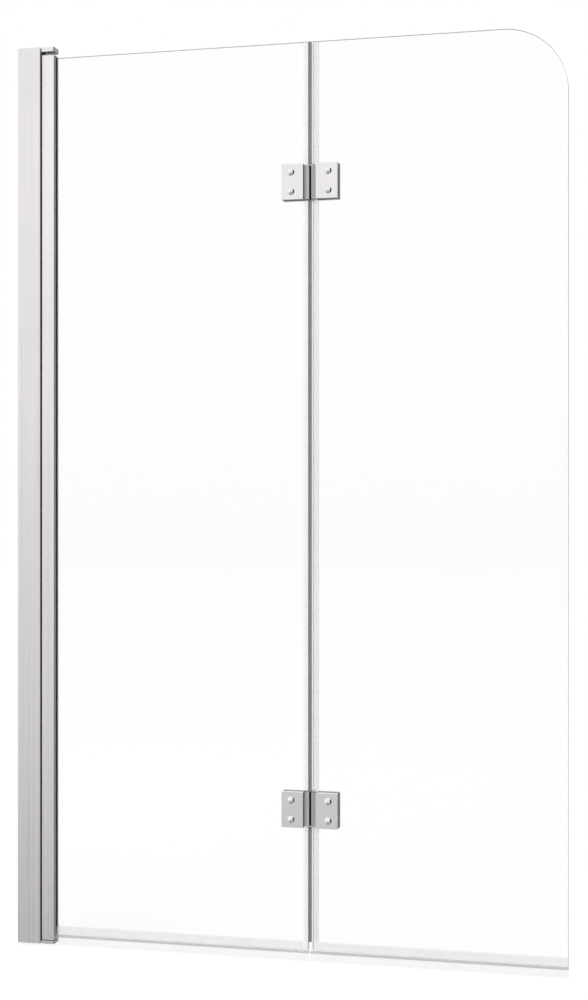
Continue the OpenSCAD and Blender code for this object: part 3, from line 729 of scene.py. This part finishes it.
def fin_outline():
    """The fin leaves the sleeve with a fillet, thins and ends in a soft bead."""
    root = SLEEVE_FOOT + FIN_ROOT
    left, right = [], []
    for i in range(FIN_STEPS):
        t = i / FIN_STEPS
        z = root - (root - FIN_Z - BEAD_R) * t
        y = BEAD_Y * (0.35 * t + 0.65 * t * t)
        fillet = max(0.0, 1 - t / FIN_FILLET_SHARE) ** 2
        half = FIN_HALF + FIN_FILLET * fillet + FIN_TAPER * (1 - t)
        left.append((y - half, z))
        right.append((y + half, z))
    bead = arc(BEAD_Y, FIN_Z + BEAD_R, BEAD_R, 0, -180, BEAD_STEPS)
    return right + bead + left[::-1]


def bottom_seal(name, body, node, sleeve_x, fin_x):
    """sleeve_x and fin_x are the ends of both; the base runs from the first of them all."""
    bm = bmesh.new()
    for wall in sleeve_outline():
        extrude(bm, wall, *sleeve_x, lengthways, SEAL_CUTS)
    extrude(bm, base_outline(), min(sleeve_x[0], fin_x[0]), fin_x[1], lengthways, SEAL_CUTS, index=2)
    extrude(bm, fin_outline(), *fin_x, lengthways, SEAL_CUTS, index=1)
    finish_object(name, bm, [SEAL, FIN, SEAL_BASE_PAINTED_SHADE], body, node, smooth=50)


start, end = ends("inner_bottom_seal", X)
bottom_seal("inner_rim_seal", "inner_panel", "inner_bottom_seal",
            (start, INNER_X[1] - FOLD_LEG - FACE_FIT), (start + FIN_START, end))
start, end = ends("outer_bottom_seal", X)
bottom_seal("outer_rim_seal", "outer_panel", "outer_bottom_seal",
            (start, end), (start - FIN_OVERLAP, end))


# Fold seals: a U on each pane's edge and a soft bulb between them

FOLD_CUTS = 8
GROOVE_HALF = 0.4
GROOVE_DEPTH = 0.25


def free_stretches(z0):
    """The heights between the hinges, from z0 to the pane's top."""
    low, high = HINGE_Z["lower"], HINGE_Z["upper"]
    return [(z0, low - HINGE_ROOM), (low + HINGE_ROOM, high - HINGE_ROOM),
            (high + HINGE_ROOM, GLASS_Z[1])]


def fold_seal(name, body, node, edge, side, thick, z0, lip, clear):
    """A U on a pane's edge, which faces side; its legs end in thin lips where lip isn't 0."""
    bm = bmesh.new()
    wall = edge + side * thick
    root = edge + side * HAIR
    end = edge - side * FOLD_LEG
    tip = end + side * lip
    lip_root = tip - side * HAIR
    outline = softened([
        (wall, -SLEEVE_Y, 1.0), (wall, SLEEVE_Y, 1.0), (tip, SLEEVE_Y, 1.4), (tip, SEAT, 0.15),
        (root, SEAT, 0.1), (root, -SEAT, 0.1), (tip, -SEAT, 0.15), (tip, -SLEEVE_Y, 1.4)])
    for low, high in free_stretches(z0):
        extrude(bm, outline, low, high, upright, FOLD_CUTS)
        for s in (-1, 1) if lip else ():
            thin = softened([(lip_root, s * SEAT, 0), (end, s * SEAT, 0.1),
                             (end, s * (SEAT + 0.3), 0.2), (lip_root, s * (SEAT + 0.6), 0)])
            extrude(bm, thin, low, high, upright, FOLD_CUTS, index=1)
    finish_object(name, bm, [clear, SEAL_LIP], body, node, smooth=50)


fold_seal("inner_edge_seal", "inner_panel", "inner_fold_seal", INNER_X[1], 1, INNER_WALL,
          BASE_TOP + FIXED_FIT, FOLD_LIP, SEAL)
fold_seal("outer_edge_seal", "outer_panel", "outer_fold_seal", OUTER_X[0], -1, OUTER_WALL,
          SLEEVE_TOP + FACE_FIT, 0, SEAL_EDGE)


def fold_core():
    """The soft bulb that fills the fold, with a shallow groove down its front and back."""
    x0, x1 = ends("fold_bulb", X)
    y = ends("fold_bulb", Y)[1]
    groove = middle((x0, x1))
    left, right = groove - GROOVE_HALF, groove + GROOVE_HALF
    bottom = y - GROOVE_DEPTH
    outline = softened([
        (x0, -y, 1.4), (left, -y, 0.3), (groove, -bottom, 0.2), (right, -y, 0.3), (x1, -y, 1.4),
        (x1, y, 1.4), (right, y, 0.3), (groove, bottom, 0.2), (left, y, 0.3), (x0, y, 1.4)])
    bm = bmesh.new()
    for low, high in free_stretches(SLEEVE_TOP + FACE_FIT):
        extrude(bm, outline, low, high, upright, FOLD_CUTS)
    finish_object("fold_core", bm, [SMOKE], "outer_panel", "fold_bulb", smooth=50)


fold_core()


# Glazing gaskets between the pane and the profile's jaws

def gasket(name, node, side):
    """A strip in the profile's jaw and its lip outside; side is -1 at the front, 1 at the back."""
    tip = ends(node, X)[1]
    far = max(abs(y) for y in ends(node, Y))
    strip = [(INNER_X[0], SEAT), (JAW_X, SEAT), (JAW_X, far), (INNER_X[0], far)]
    lip = softened([
        (JAW_X, SEAT, 0), (tip, SEAT, 0.1), (tip, SEAT + 0.3, 0.15), (tip - 0.35, SEAT + 0.85, 0.2),
        (JAW_X, far, 0.1)])

    def flipped(a, b, c):
        return (a, side * b, c)

    bm = bmesh.new()
    extrude(bm, strip, *GLASS_Z, flipped)
    extrude(bm, lip, SLEEVE_TOP + FACE_FIT, GLASS_Z[1], flipped)
    finish_object(name, bm, [BLACK], "inner_panel", node, smooth=40)


gasket("front_gasket", "front_glazing_gasket", -1)
gasket("back_gasket", "back_glazing_gasket", 1)


# Metal and plastic pieces with eased edges

LONG_EDGE = 20
FACING = 0.9
DOME_RINGS = 14
DOME_SIDES = 48


def profile_face(centre, normal):
    """The jaws' ends are 1 at the front of the glass, dark as painted shade, and 2 at its back, a
    paler painted copy.
    """
    if normal.x > FACING and centre.x > JAWS_FROM_X:
        return 1 if centre.y < 0 else 2
    return 0


def bracket_face(centre, normal):
    """The underside is 1, near-black as painted shade."""
    return 1 if normal.z < -FACING else 0


def plate_face(centre, normal):
    """The left and right sides are 1 and the underside is 2, both near-black as painted shade."""
    if abs(normal.x) > FACING:
        return 1
    return 2 if normal.z < -FACING else 0


def leaf_face(centre, normal):
    """The upper and lower ends are 1, a flat grey as painted shade; the faces inside the fold, to
    the barrel's middle, are 2, near-black as painted shade.
    """
    if abs(normal.z) > FACING:
        return 1
    inside = abs(centre.x - FOLD_X) < FOLD_INSIDE and -FOLD_INSIDE < centre.y < BARREL_Y
    return 2 if inside else 0


eased("channel", "wall_channel", "wall_channel", ALUMINIUM, 0.35, LONG_EDGE)
eased("channel_cap", "channel_top_cap", "wall_channel", CAP, 0.4)
eased("adjuster", "adjusting_profile", "adjuster", ALUMINIUM, 0.3, LONG_EDGE)
eased("turning_profile", "pivot_profile", "inner_panel", PROFILE_METAL, 0.35,
      LONG_EDGE, others=[PROFILE_SIDE_PAINTED_SHADE, PROFILE_BACK_PAINTED_LIGHT], where=profile_face)
eased("upper_bracket", "top_bracket", "adjuster", BRACKET_METAL, 0.5,
      shortest=3, others=[UNDERSIDE_PAINTED_SHADE], where=bracket_face)
eased("lower_bracket", "bottom_bracket", "adjuster", BRACKET_METAL, 0.5,
      shortest=3)
eased("upper_cap", "top_pivot_cap", "inner_panel", CAP, 0.3, shortest=3)
eased("lower_cap", "bottom_pivot_cap", "inner_panel", CAP, 0.3, shortest=3)


def dome_outline(node):
    """Half a domed nut's section, as radius and y: a low dome, its flat underside and a shank."""
    tip, back = ends(node, Y)
    tall = PLATE_FRONT - tip - FIXED_FIT
    ball = (DOME_R * DOME_R + tall * tall) / (2 * tall)
    reach = math.asin(DOME_R / ball)
    angles = [reach * i / DOME_RINGS for i in range(DOME_RINGS + 1)]
    under = PLATE_FRONT + FIXED_FIT / 2
    return [(ball * math.sin(a), tip + ball * (1 - math.cos(a))) for a in angles] + [
        (DOME_R - DOME_SHOULDER, under), (DOME_SHANK_R, under), (DOME_SHANK_R, back), (0, back)]


def dome_nuts(name, node, body, x, z):
    """A plate's two polished nuts, each turned from its outline."""
    bm = bmesh.new()
    for side in (-1, 1):
        centre = z + side * SCREW_PITCH / 2
        rings = []
        for r, y in dome_outline(node):
            turns = [math.tau * k / DOME_SIDES for k in range(DOME_SIDES)] if r else [0]
            rings.append([bm.verts.new((
                (x + r * math.cos(a)) * MM, y * MM, (centre + r * math.sin(a)) * MM))
                for a in turns])
        for inner, outer in zip(rings, rings[1:]):
            for k in range(DOME_SIDES):
                m = (k + 1) % DOME_SIDES
                corners = [inner[k % len(inner)], inner[m % len(inner)],
                           outer[m % len(outer)], outer[k % len(outer)]]
                bm.faces.new(list(dict.fromkeys(corners)))
    bmesh.ops.recalc_face_normals(bm, faces=bm.faces)
    finish_object(name, bm, [CHROME], body, node, smooth=50)


for level in ("upper", "lower"):
    for half, side in (("inner", -1), ("outer", 1)):
        body = half + "_panel"
        eased(f"{level}_{half}_front", f"{level}_{half}_plate", body, HINGE_METAL, 0.35,
              shortest=5, steps=3, others=[PLATE_SIDE_PAINTED_SHADE, UNDERSIDE_PAINTED_SHADE], where=plate_face)
        eased(f"{level}_{half}_back", f"{level}_{half}_leaf", body, LEAF_SHADED_METAL[half], 0.35,
              shortest=5, others=[LEAF_END_PAINTED_SHADE, FOLD_PAINTED_SHADE], where=leaf_face)
        dome_nuts(f"{level}_{half}_domes", f"{level}_{half}_dome_nuts", body,
                  FOLD_X + side * SCREW_REACH, HINGE_Z[level])


# CAD nodes that stay as they are get their finish

def dress(node, finish):
    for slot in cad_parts[node].material_slots:
        slot.material = finish


for node in ("clamp_screws", "clamp_nuts", "bracket_screws", "bottom_pivot_pin"):
    dress(node, CHROME)
dress("top_pivot_pin", PIN_STEEL)
dress("thrust_washer", NYLON)
dress("pivot_seal", GREY_SEAL)
for level in ("upper", "lower"):
    dress(f"{level}_hinge_pin", CHROME)
    dress(f"{level}_hinge_washers", NYLON)
    for half in ("inner", "outer"):
        dress(f"{level}_{half}_screws", CHROME)
        dress(f"{level}_{half}_pads", PAD)
        dress(f"{level}_{half}_bushes", NYLON)
